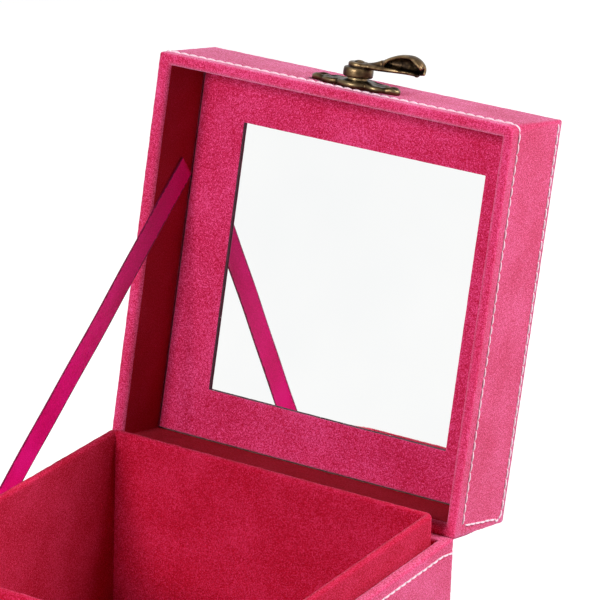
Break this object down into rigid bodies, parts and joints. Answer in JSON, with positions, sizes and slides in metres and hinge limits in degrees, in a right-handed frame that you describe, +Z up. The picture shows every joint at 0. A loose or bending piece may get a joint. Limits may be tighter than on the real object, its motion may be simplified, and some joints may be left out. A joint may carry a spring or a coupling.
{
  "type": "leather jewellery case",
  "caption": "Square suede-covered jewellery case with a hinged lid, mirror inside, ribbon stay and swing-hook latch.",
  "frame": {"origin": "centre of the underside of the base", "axes": "+Z up; -Y is the front, where the latch is; +X is to the right seen from the front; the lid hinges at the back rim"},
  "size_m": [0.1204, 0.188, 0.1959],
  "materials": {
    "suede": "napped suede",
    "velvet": "short-pile velvet",
    "satin": "satin",
    "thread": "twisted thread",
    "bronze": "antique",
    "mirror": "polished",
    "board": "matt"
  },
  "bodies": {
    "base": {"bottom_cover": "suede", "floor_board": "board", "base_front_board": "board", "base_back_board": "board", "base_left_board": "board", "base_right_board": "board", "base_wrap": "suede", "base_thread": "thread", "liner_front": "velvet", "liner_back": "velvet", "liner_left": "velvet", "liner_right": "velvet", "floor_pad": "velvet", "keeper_plate": "bronze", "keeper_knob": "bronze", "keeper_pins": "bronze", "hinge_strip": "suede", "stay_ribbon": "satin"},
    "lid": {"lid_front_board": "board", "lid_back_board": "board", "lid_left_board": "board", "lid_right_board": "board", "lid_top_board": "board", "lid_wrap": "suede", "lid_top_cover": "suede", "lid_thread": "thread", "mirror_frame": "velvet", "mirror_glass": "mirror", "mirror_backing": "board", "latch_plate": "bronze", "latch_pins": "bronze", "latch_rivet": "bronze"},
    "hook": {"latch_hook": "bronze"}
  },
  "joints": [
    {"name": "lid_hinge", "type": "hinge", "parent": "base", "child": "lid", "pos_m": [0, 0.061, 0.065], "axis": [1, 0, 0], "range_deg": [0, 101.6], "deforming": ["stay_ribbon", "hinge_strip"]},
    {"name": "hook_swivel", "type": "hinge", "parent": "lid", "child": "hook", "pos_m": [0.0015, 0.09819, 0.1865], "axis": [0, 0.2011, 0.9796], "range_deg": [-77, 90]}
  ]
}
